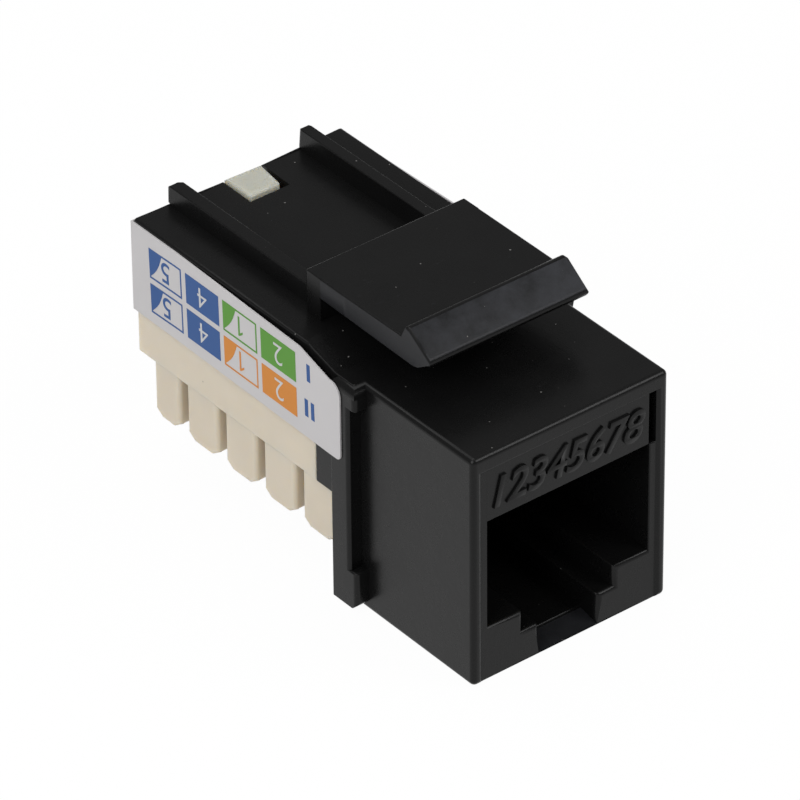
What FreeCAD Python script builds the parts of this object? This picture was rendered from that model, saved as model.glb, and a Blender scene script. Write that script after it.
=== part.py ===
import FreeCAD, Part
import math
import os
import Sketcher

# A panel-mount data jack: a moulded housing with a plug port in front, a sprung latch on top
# and a punch-down block under its rear half.
#
# Frame: millimetres, +X to the right seen from the front, -Y out of the port, +Z up. The origin
# is the centre of the panel aperture, in the plane of the shoulder that seats on the panel.

SIZES = [
    # front body, which passes through the panel
    ("body_wide", 14.5),
    ("body_tall", 16.0),
    ("body_reach", 10.2),
    ("body_round", 0.35),
    ("bezel_sink", 0.2),
    ("bezel_top", 1.1),
    ("rim_wide", 0.75),
    # shoulder flange, with the foot and the head that stand forward of it
    ("shoulder_wide", 0.95),
    ("flange_thick", 1.65),
    ("stop_thick", 0.6),
    ("foot_up", 0.35),
    ("foot_tall", 2.65),
    ("foot_slant", 0.45),
    ("head_tall", 1.5),
    ("flange_round", 0.6),
    # rear shell over the punch-down block
    ("rear_reach", 20.9),
    ("shell_inset", 0.4),
    ("shelf_rise", 0.75),
    ("ramp_run", 2.8),
    ("roof_thick", 1.6),
    ("wall_thick", 0.8),
    ("seam_drop", 5.5),
    ("cheek_run", 1.95),
    ("shell_round", 0.22),
    # rails and rear notch on the shelf
    ("rail_gap", 9.0),
    ("rail_thick", 0.8),
    ("rail_rise", 1.2),
    ("rail_taper", 0.11),
    ("rail_taper_run", 0.3),
    ("notch_wide", 3.0),
    ("notch_deep", 2.5),
    # latch
    ("latch_wide", 11.75),
    ("latch_rise", 3.7),
    ("latch_thick", 1.5),
    ("latch_root_at", 5.4),
    ("latch_root_run", 1.4),
    ("latch_reach", 4.65),
    ("ridge_at", 2.35),
    ("ridge_flat", 0.45),
    ("ridge_rise", 0.85),
    ("ridge_heel", 0.4),
    ("nose_drop", 0.44),
    ("nose_face", 0.42),
    ("nose_run", 1.35),
    ("nose_round", 2.5),
    # plug port
    ("port_wide", 12.1),
    ("port_top_drop", 4.8),
    ("port_floor_up", 3.62),
    ("port_wall", 0.95),
    ("tab_step_wide", 6.8),
    ("tab_step_up", 2.15),
    ("tab_slot_wide", 4.4),
    ("tab_slot_up", 0.6),
    ("tab_lip_up", 0.4),
    ("tab_lip_run", 1.7),
    # contact insert
    ("insert_side_gap", 0.5),
    ("insert_tail", 1.05),
    ("insert_gap", 0.05),
    ("plate_thick", 1.2),
    ("bay_wall", 1.3),
    ("beam_drop", 2.7),
    ("beam_thick", 0.95),
    ("beam_nose_at", 2.75),
    ("rib_tall", 0.5),
    ("groove_wide", 0.55),
    ("comb_tall", 3.7),
    ("comb_slot_foot", 1.4),
    ("comb_slot_tall", 3.1),
    # contact wires
    ("wire_thick", 0.35),
    ("wire_pitch", 1.02),
    ("wire_lift", 0.02),
    ("bend_radius", 0.7),
    ("contact_slope", 22.7),
    ("contact_tip_drop", 6.75),
    ("contact_tip_in", 0.4),
    ("tip_bend_radius", 1.0),
    ("tail_near_in", 1.9),
    ("tail_far_in", 3.5),
    ("tail_bend_radius", 0.5),
    ("tail_below", 0.5),
    # circuit board
    ("board_thick", 1.2),
    ("board_side_gap", 0.15),
    ("board_front_gap", 1.25),
    ("board_end_gap", 0.3),
    ("board_seat_gap", 0.05),
    ("hole_slack", 0.12),
    # punch-down block
    ("block_top_drop", 4.2),
    ("block_foot_drop", 8.7),
    ("block_fit", 0.05),
    ("block_inset", 0.15),
    ("block_front_gap", 0.1),
    ("well_wide", 8.4),
    ("well_run", 3.0),
    ("well_deep", 0.8),
    ("band_rise", 0.3),
    ("post_inset", 0.2),
    ("post_run", 2.95),
    ("post_first_gap", 0.6),
    ("post_last_gap", 0.82),
    ("post_tall", 4.05),
    ("rear_post_trim", 0.53),
    ("post_bevel_run", 0.65),
    ("post_bevel_rise", 0.45),
    ("post_round", 0.3),
    ("channel_wide", 7.2),
    ("channel_over", 1.4),
    ("back_thick", 1.0),
    ("snap_side_gap", 0.15),
    ("snap_gap", 0.1),
    ("snap_drop", 0.05),
    ("snap_round", 0.35),
    # punch-down terminals
    ("blade_in", 2.05),
    ("blade_thick", 0.4),
    ("blade_wide", 2.3),
    ("blade_inset", 1.15),
    ("blade_tall", 4.0),
    ("blade_slit", 0.34),
    ("blade_slit_tall", 3.0),
    ("blade_flare", 0.35),
    ("neck_wide", 1.2),
    ("pin_wide", 0.5),
    ("pin_above", 0.7),
    ("blade_slack", 0.06),
    # side labels
    ("label_thick", 0.1),
    ("label_lap", 0.23),
    ("label_drop", 0.22),
    ("label_front", 0.62),
    ("label_wrap", 0.5),
    ("label_round", 0.9),
    ("label_foot_round", 0.35),
    ("label_joggle", 15.0),
]

WAYS = 8
SLOTS = 4
POSTS = SLOTS + 1

doc = FreeCAD.newDocument("panel_jack")
sheet = doc.addObject("Spreadsheet::Sheet", "size")
for row, (alias, number) in enumerate(SIZES, start=1):
    sheet.set(f"A{row}", alias)
    sheet.set(f"B{row}", str(number))
    sheet.setAlias(f"B{row}", alias)
doc.recompute()
size = dict(SIZES)


def up(height):
    """Height above the underside of the body, as an expression for Z."""
    return f"{height} - size.body_tall / 2"


def down(depth):
    """Depth below the top of the body, as an expression for Z."""
    return f"size.body_tall / 2 - ({depth})"


def back(distance):
    """Distance behind the front face of the body, as an expression for Y."""
    return f"{distance} - size.body_reach"


# Places that several pieces share, each written once from the sheet. Depths below the top of the
# body are for down(), and places without a helper are already measured from the shoulder plane.
SHELF = "-size.shelf_rise"
ROOF = "size.roof_thick - size.shelf_rise"
BODY_HALF = "(size.body_wide / 2)"
TUNNEL_HALF = f"({BODY_HALF} - size.rim_wide)"
INSERT_HALF = f"({TUNNEL_HALF} - size.insert_side_gap)"
FLANGE_HALF = f"({BODY_HALF} + size.shoulder_wide)"
SHELL_HALF = f"({FLANGE_HALF} - size.shell_inset)"
REAR_IN = f"({SHELL_HALF} - size.wall_thick)"
BLOCK_HALF = f"({REAR_IN} - size.block_fit)"
BLADE_AT = f"({SHELL_HALF} - size.post_inset - size.blade_in)"
FLANGE_BACK = "size.flange_thick"
PORT_BACK = f"({FLANGE_BACK} - size.port_wall)"
PORT_DEEP = f"size.body_reach + {PORT_BACK}"
INSERT_TOP = "size.bezel_top + size.insert_gap"
INSERT_END = f"({FLANGE_BACK} + size.insert_tail)"
BEAM_FOOT = "size.beam_drop + size.beam_thick"
RIB_TOP = "size.beam_drop - size.rib_tall"
COMB_FOOT = "size.port_top_drop + size.comb_tall"
LEAD = "size.beam_drop - size.wire_lift - size.wire_thick / 2"
PIVOT_AT = "size.beam_nose_at - size.bend_radius * sin(size.contact_slope)"
PIVOT = f"{LEAD} + size.bend_radius * (1 + cos(size.contact_slope))"
TIP_AT = f"{PORT_BACK} + size.contact_tip_in"
BOARD_FRONT = f"({FLANGE_BACK} + size.board_front_gap)"
BOARD_FOOT = "size.block_top_drop - size.board_seat_gap"
BOARD_TOP = f"{BOARD_FOOT} - size.board_thick"
BLOCK_REAR = "(size.rear_reach - size.block_inset)"
BACK_WALL = "(size.rear_reach - size.back_thick)"
POST_FIRST = f"({FLANGE_BACK} + size.post_first_gap)"
POST_FOOT = "size.block_foot_drop + size.post_tall"
POST_SPAN = f"(size.rear_reach - size.post_last_gap - size.post_run - {POST_FIRST})"
POST_PITCH = f"{POST_SPAN} / {SLOTS}"
SLOT_FIRST = f"({POST_FIRST} + (size.post_run + {POST_PITCH}) / 2)"


def datum(body, role):
    """One of the body's own origin planes or axes."""
    return [item for item in body.Origin.OriginFeatures if item.Role == role][0]


def sketch_on(body, name, role, offset="0"):
    """A sketch on an origin plane of the body, moved along the plane's normal by offset."""
    sketch = body.newObject("Sketcher::SketchObject", name)
    sketch.AttachmentSupport = [(datum(body, role), "")]
    sketch.MapMode = "FlatFace"
    sketch.setExpression("AttachmentOffset.Base.z", offset)
    return sketch


def pin_point(sketch, element, end, across, upward, guess):
    """Hold one point of the sketch at two distances from its origin."""
    for kind, text, start in (("DistanceX", across, guess.x), ("DistanceY", upward, guess.y)):
        index = sketch.addConstraint(Sketcher.Constraint(kind, -1, 1, element, end, start))
        sketch.setExpression(f"Constraints[{index}]", text)


def outline(sketch, corners):
    """A closed polygon whose corners are all driven by the sheet."""
    first = sketch.GeometryCount
    count = len(corners)
    turn = 2 * math.pi / count
    guess = [FreeCAD.Vector(9 * math.cos(0.3 + turn * k), 9 * math.sin(0.3 + turn * k), 0)
             for k in range(count)]
    for k in range(count):
        sketch.addGeometry(Part.LineSegment(guess[k], guess[(k + 1) % count]), False)
    for k in range(count):
        sketch.addConstraint(
            Sketcher.Constraint("Coincident", first + k, 2, first + (k + 1) % count, 1))
    for k, (across, upward) in enumerate(corners):
        pin_point(sketch, first + k, 1, across, upward, guess[k])


def rectangle(sketch, left, right, low, high):
    outline(sketch, [(left, low), (right, low), (right, high), (left, high)])


def circle(sketch, across, upward, radius):
    """A circle whose centre and radius are driven by the sheet."""
    element = sketch.addGeometry(Part.Circle(FreeCAD.Vector(1, 1, 0), FreeCAD.Vector(0, 0, 1), 0.3))
    pin_point(sketch, element, 3, across, upward, FreeCAD.Vector(1, 1, 0))
    index = sketch.addConstraint(Sketcher.Constraint("Radius", element, 0.3))
    sketch.setExpression(f"Constraints[{index}]", radius)


def new_body(label):
    body = doc.addObject("PartDesign::Body", label)
    body.Label = label
    return body


def solid_from(body, kind, name, sketch, length, side="One side", reverse=False):
    """Pad or pocket a sketch by a length from the sheet."""
    feature = body.newObject(f"PartDesign::{kind}", name)
    feature.Profile = sketch
    feature.SideType = side
    feature.Reversed = reverse
    feature.setExpression("Length", length)
    return feature


def pad(body, name, sketch, length, side="One side", reverse=False):
    feature = solid_from(body, "Pad", name, sketch, length, side, reverse)
    doc.recompute()
    return feature


def pocket(body, name, sketch, length, side="One side", reverse=False):
    """Cut a sketch out of the body, and check that it takes something away."""
    before = body.Shape.Volume
    feature = solid_from(body, "Pocket", name, sketch, length, side, reverse)
    doc.recompute()
    if not body.Shape.Volume < before:
        raise RuntimeError(f"{name} cuts nothing")
    return feature


def row_of(body, name, original, role, length, count):
    """Repeat a feature in a row along an origin axis of the body."""
    pattern = body.newObject("PartDesign::LinearPattern", name)
    pattern.Originals = [original]
    pattern.Direction = (datum(body, role), [""])
    pattern.setExpression("Length", length)
    pattern.Occurrences = count
    body.Tip = pattern
    doc.recompute()
    return pattern


def edges_where(feature, test):
    """Names of the edges of a feature whose two ends together pass the test."""
    names = []
    for index, edge in enumerate(feature.Shape.Edges, start=1):
        ends = [vertex.Point for vertex in edge.Vertexes]
        if len(ends) == 2 and test(*ends):
            names.append(f"Edge{index}")
    return names


def near(one, other):
    return abs(one - other) < 0.001


def round_edges(body, name, feature, test, radius):
    fillet = body.newObject("PartDesign::Fillet", name)
    fillet.Base = (feature, edges_where(feature, test))
    fillet.setExpression("Radius", radius)
    doc.recompute()
    return fillet


# The housing is one black moulding: front body, shoulder, rear shell, rails and latch root.
housing = new_body("housing")

front_face = sketch_on(housing, "front_face", "XZ_Plane")
rectangle(front_face, f"-{BODY_HALF}", BODY_HALF, up("0"), down("0"))
front_body = pad(housing, "front_body", front_face, "size.body_reach")
front_body = round_edges(
    housing, "front_rounds", front_body, lambda a, b: not (near(a.y, 0) and near(b.y, 0)),
    "size.body_round")

flange_face = sketch_on(housing, "flange_face", "XZ_Plane")
rectangle(flange_face, f"-{FLANGE_HALF}", FLANGE_HALF, up("size.foot_up"), down("0"))
pad(housing, "flange", flange_face, "size.flange_thick", reverse=True)

foot_side = sketch_on(housing, "foot_side", "YZ_Plane")
outline(foot_side, [
    ("0", up("size.foot_up")),
    ("0", up("size.foot_up + size.foot_tall")),
    ("-size.stop_thick", up("size.foot_up + size.foot_tall")),
    ("-size.stop_thick", up("size.foot_up + size.foot_slant")),
    ("size.foot_slant - size.stop_thick", up("size.foot_up")),
])
pad(housing, "foot", foot_side, f"2 * {FLANGE_HALF}", side="Symmetric")

head_side = sketch_on(housing, "head_side", "YZ_Plane")
rectangle(head_side, "-size.stop_thick", "0", down("size.head_tall"), down("0"))
head = pad(housing, "head", head_side, f"2 * {FLANGE_HALF}", side="Symmetric")
middle_up = size["body_tall"] / 2
half_flange = size["body_wide"] / 2 + size["shoulder_wide"]
half_shell = half_flange - size["shell_inset"]
round_edges(
    housing, "flange_rounds", head,
    lambda a, b: near(abs(a.x), half_flange) and near(a.z, middle_up) and near(b.z, middle_up),
    "size.flange_round")

shell_side = sketch_on(housing, "shell_side", "YZ_Plane")
outline(shell_side, [
    ("0", down("size.block_foot_drop")),
    (f"{FLANGE_BACK} + size.cheek_run", down("size.block_foot_drop")),
    (f"{FLANGE_BACK} + size.cheek_run", down("size.seam_drop")),
    ("size.rear_reach", down("size.seam_drop")),
    ("size.rear_reach", down(SHELF)),
    (f"{FLANGE_BACK} + size.ramp_run", down(SHELF)),
    (FLANGE_BACK, down("0")),
    ("0", down("0")),
])
shell = pad(housing, "shell", shell_side, f"2 * {SHELL_HALF}", side="Symmetric")
shelf_z = middle_up + size["shelf_rise"]


def on_shell_rim(a, b):
    """The long top edges, the rear top edge and the rear corners of the shell."""
    sides = near(abs(a.x), half_shell) and near(a.x, b.x)
    rear = near(a.y, size["rear_reach"]) and near(b.y, size["rear_reach"])
    top = near(a.z, shelf_z) and near(b.z, shelf_z)
    return (sides and (top or rear)) or (rear and top)


round_edges(housing, "shell_rounds", shell, on_shell_rim, "size.shell_round")

rear_mouth = sketch_on(housing, "rear_mouth", "XZ_Plane", "-size.rear_reach")
rectangle(rear_mouth, f"-{REAR_IN}", REAR_IN, up("-1"), down(ROOF))
pocket(housing, "rear_cavity", rear_mouth, f"size.rear_reach - {FLANGE_BACK}", reverse=True)

upper_mouth = sketch_on(housing, "upper_mouth", "XZ_Plane", f"-{FLANGE_BACK}")
rectangle(
    upper_mouth, f"-{INSERT_HALF} - size.insert_gap", TUNNEL_HALF,
    down("size.port_top_drop"), down("size.bezel_top"))
pocket(housing, "insert_tunnel", upper_mouth, f"{FLANGE_BACK} + size.body_reach", reverse=True)

comb_mouth = sketch_on(housing, "comb_mouth", "XZ_Plane", f"-{FLANGE_BACK}")
rectangle(
    comb_mouth, f"-{INSERT_HALF} - size.insert_gap", f"{INSERT_HALF} + size.insert_gap",
    down(f"{COMB_FOOT} + size.insert_gap"), down("size.port_top_drop"))
pocket(housing, "comb_window", comb_mouth, "size.port_wall", reverse=True)

port_mouth = sketch_on(housing, "port_mouth", "XZ_Plane", "size.body_reach")
rectangle(
    port_mouth, "-size.port_wide / 2", "size.port_wide / 2",
    up("size.port_floor_up"), down("size.port_top_drop"))
pocket(housing, "port", port_mouth, PORT_DEEP)

step_mouth = sketch_on(housing, "step_mouth", "XZ_Plane", "size.body_reach")
rectangle(
    step_mouth, "-size.tab_step_wide / 2", "size.tab_step_wide / 2",
    up("size.tab_step_up"), up("size.port_floor_up"))
pocket(housing, "tab_step", step_mouth, PORT_DEEP)

slot_mouth = sketch_on(housing, "slot_mouth", "XZ_Plane", "size.body_reach")
rectangle(
    slot_mouth, "-size.tab_slot_wide / 2", "size.tab_slot_wide / 2",
    up("size.tab_slot_up"), up("size.tab_step_up"))
pocket(housing, "tab_slot", slot_mouth, PORT_DEEP)

lip_mouth = sketch_on(housing, "lip_mouth", "XZ_Plane", "size.body_reach")
rectangle(
    lip_mouth, "-size.tab_slot_wide / 2", "size.tab_slot_wide / 2",
    up("size.tab_lip_up"), up("size.tab_slot_up"))
pocket(housing, "tab_lip", lip_mouth, "size.tab_lip_run")

bezel_face = sketch_on(housing, "bezel_face", "XZ_Plane", "size.body_reach")
rectangle(bezel_face, f"-{TUNNEL_HALF}", TUNNEL_HALF, up("-1"), down("size.bezel_top"))
pocket(housing, "bezel", bezel_face, "size.bezel_sink")

rail_plan = sketch_on(housing, "rail_plan", "XY_Plane", down(SHELF))
RAIL_IN = "size.rail_gap / 2"
RAIL_OUT = f"{RAIL_IN} + size.rail_thick"
for sign in ("", "-"):
    outline(rail_plan, [(f"{sign}({across})", depth) for across, depth in [
        (RAIL_IN, "size.latch_root_at"),
        (RAIL_OUT, "size.latch_root_at"),
        (RAIL_OUT, "size.rear_reach - size.rail_taper_run"),
        (f"{RAIL_OUT} - size.rail_taper", "size.rear_reach"),
        (f"{RAIL_IN} + size.rail_taper", "size.rear_reach"),
        (RAIL_IN, "size.rear_reach - size.rail_taper_run"),
    ]])
pad(housing, "rails", rail_plan, "size.rail_rise")

notch_plan = sketch_on(housing, "notch_plan", "XY_Plane", down(f"{SHELF} - 1"))
rectangle(
    notch_plan, "-size.notch_wide / 2", "size.notch_wide / 2",
    "size.rear_reach - size.notch_deep", "size.rear_reach + 1")
pocket(housing, "notch", notch_plan, "size.roof_thick + 1.5")

root_side = sketch_on(housing, "root_side", "YZ_Plane")
rectangle(
    root_side, "size.latch_root_at", "size.latch_root_at + size.latch_root_run",
    down(SHELF), down("-size.latch_rise"))
pad(housing, "latch_root", root_side, "size.latch_wide", side="Symmetric")

# The latch arm is moulded with the housing and bends just in front of its root.
latch_arm = new_body("latch_arm")
arm_side = sketch_on(latch_arm, "arm_side", "YZ_Plane")
ARM_FOOT = "size.latch_thick - size.latch_rise"
RIDGE_TOP = "-size.latch_rise - size.ridge_rise"
NOSE_TOP = "size.nose_drop - size.latch_rise"
outline(arm_side, [
    ("size.latch_root_at", down(ARM_FOOT)),
    ("size.latch_root_at", down("-size.latch_rise")),
    ("size.ridge_heel - size.ridge_at", down("-size.latch_rise")),
    ("-size.ridge_at", down(RIDGE_TOP)),
    ("-size.ridge_at - size.ridge_flat", down(RIDGE_TOP)),
    ("-size.latch_reach", down(NOSE_TOP)),
    ("-size.latch_reach", down(f"{NOSE_TOP} + size.nose_face")),
    ("size.nose_run - size.latch_reach", down(ARM_FOOT)),
])
arm = pad(latch_arm, "arm", arm_side, "size.latch_wide", side="Symmetric")
arm_foot_z = middle_up + size["latch_rise"] - size["latch_thick"]
arm_nose_y = size["nose_run"] - size["latch_reach"]
round_edges(
    latch_arm, "nose_rounds", arm,
    lambda a, b: near(a.y, arm_nose_y) and near(b.y, arm_nose_y) and near(a.z, arm_foot_z),
    "size.nose_round")

# The contact insert slides in from behind: a front plate over the port, a grooved beam that the
# wires are bent round, and a comb at the back of the port that keeps their free ends apart.
contact_insert = new_body("contact_insert")
insert_side = sketch_on(contact_insert, "insert_side", "YZ_Plane")
PLATE_AT = "size.bezel_sink"
COMB_BACK = f"({FLANGE_BACK} - size.insert_gap)"
HEEL_FOOT = "size.block_top_drop - size.insert_gap"
outline(insert_side, [
    (back(PLATE_AT), down("size.port_top_drop")),
    (f"{PORT_BACK} + size.insert_gap", down("size.port_top_drop")),
    (f"{PORT_BACK} + size.insert_gap", down(COMB_FOOT)),
    (COMB_BACK, down(COMB_FOOT)),
    (COMB_BACK, down(HEEL_FOOT)),
    (INSERT_END, down(HEEL_FOOT)),
    (INSERT_END, down(INSERT_TOP)),
    (back(PLATE_AT), down(INSERT_TOP)),
])
pad(contact_insert, "carrier", insert_side, f"2 * {INSERT_HALF}", side="Symmetric")

wire_space = sketch_on(contact_insert, "wire_space", "YZ_Plane")
PLATE_BACK = f"{PLATE_AT} + size.plate_thick"
outline(wire_space, [
    (back(PLATE_BACK), down("size.port_top_drop + 1")),
    (PORT_BACK, down("size.port_top_drop + 1")),
    (PORT_BACK, down(BEAM_FOOT)),
    (back("size.beam_nose_at"), down(BEAM_FOOT)),
    (back("size.beam_nose_at"), down(RIB_TOP)),
    (f"{INSERT_END} + 1", down(RIB_TOP)),
    (f"{INSERT_END} + 1", down("0")),
    (back(PLATE_BACK), down("0")),
])
pocket(
    contact_insert, "wire_bay", wire_space, f"2 * ({INSERT_HALF} - size.bay_wall)",
    side="Symmetric")

FIRST_WIRE = f"-{WAYS - 1} * size.wire_pitch / 2"
WIRE_SPAN = f"{WAYS - 1} * size.wire_pitch"

groove_end = sketch_on(contact_insert, "groove_end", "XZ_Plane", f"-{INSERT_END}")
rectangle(
    groove_end, f"{FIRST_WIRE} - size.groove_wide / 2", f"{FIRST_WIRE} + size.groove_wide / 2",
    down("size.beam_drop"), down(f"{RIB_TOP} - 0.01"))
groove = pocket(
    contact_insert, "groove", groove_end,
    f"{INSERT_END} + size.body_reach - size.beam_nose_at", reverse=True)
row_of(contact_insert, "grooves", groove, "X_Axis", WIRE_SPAN, WAYS)

comb_end = sketch_on(contact_insert, "comb_end", "XZ_Plane", f"-{COMB_BACK}")
rectangle(
    comb_end, f"{FIRST_WIRE} - size.groove_wide / 2", f"{FIRST_WIRE} + size.groove_wide / 2",
    down(f"{COMB_FOOT} - size.comb_slot_foot"),
    down(f"{COMB_FOOT} - size.comb_slot_foot - size.comb_slot_tall"))
comb_slot = pocket(contact_insert, "comb_slot", comb_end, "size.port_wall", reverse=True)
row_of(contact_insert, "comb", comb_slot, "X_Axis", WIRE_SPAN, WAYS)

# Each contact is one bent wire. Its lead comes up out of the board, runs forward in its groove and
# round the beam's nose, where it stops: the free arm that a plug lifts starts there.
TAIL_FOOT = f"{BOARD_FOOT} + size.tail_below"
ARC_SIDES = 8

lead_z = middle_up - size["beam_drop"] + size["wire_lift"] + size["wire_thick"] / 2
nose_y = size["beam_nose_at"] - size["body_reach"]
tail_y = size["flange_thick"] + size["board_front_gap"]
slope = math.radians(size["contact_slope"])


def join(sketch, one, end_one, other, end_other):
    sketch.addConstraint(Sketcher.Constraint("Tangent", one, end_one, other, end_other))


def set_radius(sketch, element, text):
    index = sketch.addConstraint(
        Sketcher.Constraint("Radius", element, sketch.Geometry[element].Radius))
    sketch.setExpression(f"Constraints[{index}]", text)


def arc_guess(centre_y, centre_z, radius, start, stop):
    ring = Part.Circle(FreeCAD.Vector(centre_y, centre_z, 0), FreeCAD.Vector(0, 0, 1), radius)
    return Part.ArcOfCircle(ring, math.radians(start), math.radians(stop))


def wire_section(sketch, across, upward):
    """An eight-sided section, as wide across its flats as the wire is thick."""
    flat = "size.wire_thick / 2"
    half_side = f"{flat} * tan(180 / {ARC_SIDES})"
    corners = []
    for one, other in (("", ""), ("-", ""), ("-", "-"), ("", "-")):
        pair = [(f"{one}{flat}", f"{other}{half_side}"), (f"{one}{half_side}", f"{other}{flat}")]
        corners += pair if one == other else pair[::-1]
    outline(sketch, [(f"{across} + ({a})", f"{upward} + ({b})") for a, b in corners])


def sweep(body, path, section):
    pipe = body.newObject("PartDesign::AdditivePipe", "wire")
    pipe.Profile = section
    pipe.Spine = path
    doc.recompute()


def wire_place(number):
    """Where wire 1 to 8 stands across the port."""
    return f"({number} - {WAYS + 1} / 2) * size.wire_pitch"


def tail_place(number):
    """The tails stand in two rows, so that their holes in the board clear each other."""
    return f"{BOARD_FRONT} + size." + ("tail_near_in", "tail_far_in")[number % 2]


def contact_lead(number):
    lead = new_body(f"contact_lead_{number}")
    stand_y = tail_y + size[("tail_near_in", "tail_far_in")[number % 2]]
    turn = size["tail_bend_radius"]
    bend = size["bend_radius"]
    path = sketch_on(lead, "lead_path", "YZ_Plane")
    tail = path.addGeometry(Part.LineSegment(
        FreeCAD.Vector(stand_y, lead_z - 2, 0), FreeCAD.Vector(stand_y, lead_z - turn, 0)))
    elbow = path.addGeometry(arc_guess(stand_y - turn, lead_z - turn, turn, 0, 90))
    run = path.addGeometry(Part.LineSegment(
        FreeCAD.Vector(stand_y - turn, lead_z, 0), FreeCAD.Vector(nose_y, lead_z, 0)))
    nose = path.addGeometry(arc_guess(
        nose_y, lead_z - bend, bend, 90, 270 - size["contact_slope"]))
    path.addConstraint(Sketcher.Constraint("Vertical", tail))
    path.addConstraint(Sketcher.Constraint("Horizontal", run))
    pin_point(path, tail, 1, tail_place(number), down(TAIL_FOOT), path.getPoint(tail, 1))
    pin_point(path, run, 2, back("size.beam_nose_at"), down(LEAD), path.getPoint(run, 2))
    join(path, tail, 2, elbow, 1)
    join(path, elbow, 2, run, 1)
    join(path, run, 2, nose, 1)
    set_radius(path, elbow, "size.tail_bend_radius")
    set_radius(path, nose, "size.bend_radius")
    index = path.addConstraint(
        Sketcher.Constraint("DistanceX", -1, 1, nose, 2, path.getPoint(nose, 2).x))
    path.setExpression(f"Constraints[{index}]", back(PIVOT_AT))
    section = sketch_on(lead, "lead_section", "XY_Plane", down(TAIL_FOOT))
    wire_section(section, "0", tail_place(number))
    sweep(lead, path, section)
    lead.setExpression("Placement.Base.x", wire_place(number))
    return lead


def contact_arm(number):
    free_arm = new_body(f"contact_{number}")
    turn = size["tip_bend_radius"]
    start_y = nose_y - size["bend_radius"] * math.sin(slope)
    start_z = lead_z - size["bend_radius"] * (1 + math.cos(slope))
    tip_y = size["flange_thick"] - size["port_wall"] + size["contact_tip_in"]
    tip_z = middle_up - size["contact_tip_drop"]
    knee_z = tip_z + turn * (1 - math.cos(slope))
    knee_y = start_y + (start_z - knee_z) / math.tan(slope)
    flat_y = knee_y + turn * math.sin(slope)
    path = sketch_on(free_arm, "arm_path", "YZ_Plane")
    tip = FreeCAD.Vector(tip_y, tip_z, 0)
    start = FreeCAD.Vector(start_y, start_z, 0)
    toe = path.addGeometry(Part.LineSegment(tip, FreeCAD.Vector(flat_y, tip_z, 0)))
    bend = path.addGeometry(arc_guess(
        flat_y, tip_z + turn, turn, 270 - size["contact_slope"], 270))
    reach = path.addGeometry(Part.LineSegment(FreeCAD.Vector(knee_y, knee_z, 0), start))
    path.addConstraint(Sketcher.Constraint("Horizontal", toe))
    pin_point(path, toe, 1, TIP_AT, down("size.contact_tip_drop"), tip)
    pin_point(path, reach, 2, back(PIVOT_AT), down(PIVOT), start)
    join(path, toe, 2, bend, 2)
    join(path, bend, 1, reach, 1)
    set_radius(path, bend, "size.tip_bend_radius")
    index = path.addConstraint(Sketcher.Constraint("DistanceY", -1, 1, reach, 1, knee_z))
    path.setExpression(
        f"Constraints[{index}]",
        down("size.contact_tip_drop - size.tip_bend_radius * (1 - cos(size.contact_slope))"))
    section = sketch_on(free_arm, "arm_section", "XZ_Plane", f"-({TIP_AT})")
    wire_section(section, "0", down("size.contact_tip_drop"))
    sweep(free_arm, path, section)
    free_arm.setExpression("Placement.Base.x", wire_place(number))
    return free_arm


leads = [contact_lead(number) for number in range(1, WAYS + 1)]
arms = [contact_arm(number) for number in range(1, WAYS + 1)]

# The circuit board lies on the punch-down block and joins each lead to its terminal.
circuit_board = new_body("circuit_board")
BOARD_HALF = f"({BLOCK_HALF} - size.board_side_gap)"
board_plan = sketch_on(circuit_board, "board_plan", "XY_Plane", down(BOARD_FOOT))
rectangle(
    board_plan, f"-{BOARD_HALF}", BOARD_HALF, BOARD_FRONT, f"{BACK_WALL} - size.board_end_gap")
pad(circuit_board, "board", board_plan, "size.board_thick")
hole_plan = sketch_on(circuit_board, "hole_plan", "XY_Plane", down(f"{BOARD_TOP} - 1"))
for number in range(1, WAYS + 1):
    circle(
        hole_plan, wire_place(number), tail_place(number), "size.wire_thick / 2 + size.hole_slack")
for slot in range(SLOTS):
    for sign in ("-", ""):
        circle(
            hole_plan, f"{sign}{BLADE_AT}", f"{SLOT_FIRST} + {slot} * {POST_PITCH}",
            "sqrt(size.pin_wide ^ 2 + size.blade_thick ^ 2) / 2 + size.hole_slack")
pocket(circuit_board, "holes", hole_plan, "size.board_thick + 2")

# The punch-down block is one pale moulding: a base that the board lies on, a band that shows
# under the shell, a back wall with the snap that holds it in the notch, and two rows of posts.
idc_block = new_body("idc_block")
BLOCK_FRONT = f"{FLANGE_BACK} + size.block_front_gap"
BLOCK_ROOF = f"{ROOF} + size.block_fit"

base_side = sketch_on(idc_block, "base_side", "YZ_Plane")
outline(base_side, [
    (BLOCK_FRONT, down("size.block_foot_drop")),
    (BLOCK_REAR, down("size.block_foot_drop")),
    (BLOCK_REAR, down(BLOCK_ROOF)),
    (BACK_WALL, down(BLOCK_ROOF)),
    (BACK_WALL, down("size.block_top_drop")),
    (BLOCK_FRONT, down("size.block_top_drop")),
])
pad(idc_block, "base", base_side, f"2 * {BLOCK_HALF}", side="Symmetric")

band_side = sketch_on(idc_block, "band_side", "YZ_Plane")
rectangle(
    band_side, f"{FLANGE_BACK} + size.cheek_run + size.block_fit", BLOCK_REAR,
    down("size.block_foot_drop - size.band_rise"), down("size.seam_drop + size.block_fit"))
pad(idc_block, "band", band_side, f"2 * {SHELL_HALF}", side="Symmetric")

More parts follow.
